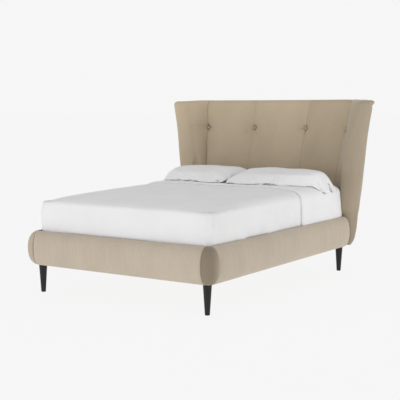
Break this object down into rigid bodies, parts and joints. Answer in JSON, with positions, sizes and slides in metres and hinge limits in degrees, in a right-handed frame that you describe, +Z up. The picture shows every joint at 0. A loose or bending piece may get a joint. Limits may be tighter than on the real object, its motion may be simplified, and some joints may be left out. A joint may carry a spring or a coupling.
{
  "type": "upholstered headboard bed",
  "caption": "Double bed with a tall winged velvet headboard with channels and covered buttons, padded rails, tapered black legs, mattress, cover and pillows.",
  "frame": {"origin": "on the floor, at the middle of the bed's footprint", "axes": "+Y towards the headboard, +Z up, +X to the right of someone looking at the headboard from the foot"},
  "size_m": [1.8012, 2.3456, 1.31],
  "materials": {
    "velvet": "matte",
    "timber": "matte",
    "plywood": "matte",
    "black_wood": "satin",
    "steel": "satin",
    "black_plastic": "matte",
    "mattress_ticking": "matte",
    "sheet_cotton": "matte",
    "cover_cotton": "matte",
    "pillow_cotton": "matte"
  },
  "bodies": {
    "frame": {"beam_hanger_foot": "steel", "beam_hanger_head": "steel", "button_inner_left": "velvet", "button_inner_right": "velvet", "button_outer_left": "velvet", "button_outer_right": "velvet", "centre_beam": "timber", "centre_leg": "steel", "corner_bracket_foot_left": "steel", "corner_bracket_foot_right": "steel", "corner_bracket_head_left": "steel", "corner_bracket_head_right": "steel", "corner_panel_left": "velvet", "corner_panel_right": "velvet", "foot_rail_board": "timber", "foot_rail_pad": "velvet", "head_cross_rail": "timber", "headboard_back_cover": "velvet", "headboard_bolt_left": "steel", "headboard_bolt_right": "steel", "headboard_bottom_rail": "timber", "headboard_centre_pad": "velvet", "headboard_panel": "plywood", "headboard_side_pad_left": "velvet", "headboard_side_pad_right": "velvet", "headboard_top_rail": "timber", "headboard_upright_left": "timber", "headboard_upright_right": "timber", "leg_foot_left": "black_wood", "leg_foot_right": "black_wood", "leg_head_left": "black_wood", "leg_head_right": "black_wood", "side_rail_board_left": "timber", "side_rail_board_right": "timber", "side_rail_pad_left": "velvet", "side_rail_pad_right": "velvet", "slat_01": "timber", "slat_02": "timber", "slat_03": "timber", "slat_04": "timber", "slat_05": "timber", "slat_06": "timber", "slat_07": "timber", "slat_08": "timber", "slat_09": "timber", "slat_10": "timber", "slat_11": "timber", "slat_12": "timber", "slat_ledge_left": "timber", "slat_ledge_right": "timber", "wing_board_left": "plywood", "wing_board_right": "plywood", "wing_pad_left": "velvet", "wing_pad_right": "velvet"},
    "mattress": {"mattress": "mattress_ticking", "fitted_sheet": "sheet_cotton", "bed_cover": "cover_cotton"},
    "pillow_left": {"pillow_left": "pillow_cotton"},
    "pillow_right": {"pillow_right": "pillow_cotton"},
    "levelling_foot": {"levelling_foot": "black_plastic"}
  },
  "joints": [
    {"name": "mattress_lift", "type": "slide", "parent": "frame", "child": "mattress", "axis": [0, 0, 1], "range_m": [0, 0.3]},
    {"name": "pillow_left_lift", "type": "slide", "parent": "mattress", "child": "pillow_left", "axis": [0, 0, 1], "range_m": [0, 0.25]},
    {"name": "pillow_right_lift", "type": "slide", "parent": "mattress", "child": "pillow_right", "axis": [0, 0, 1], "range_m": [0, 0.25]},
    {"name": "levelling_foot_screw", "type": "slide", "parent": "frame", "child": "levelling_foot", "axis": [0, 0, 1], "range_m": [0, 0.015]}
  ]
}
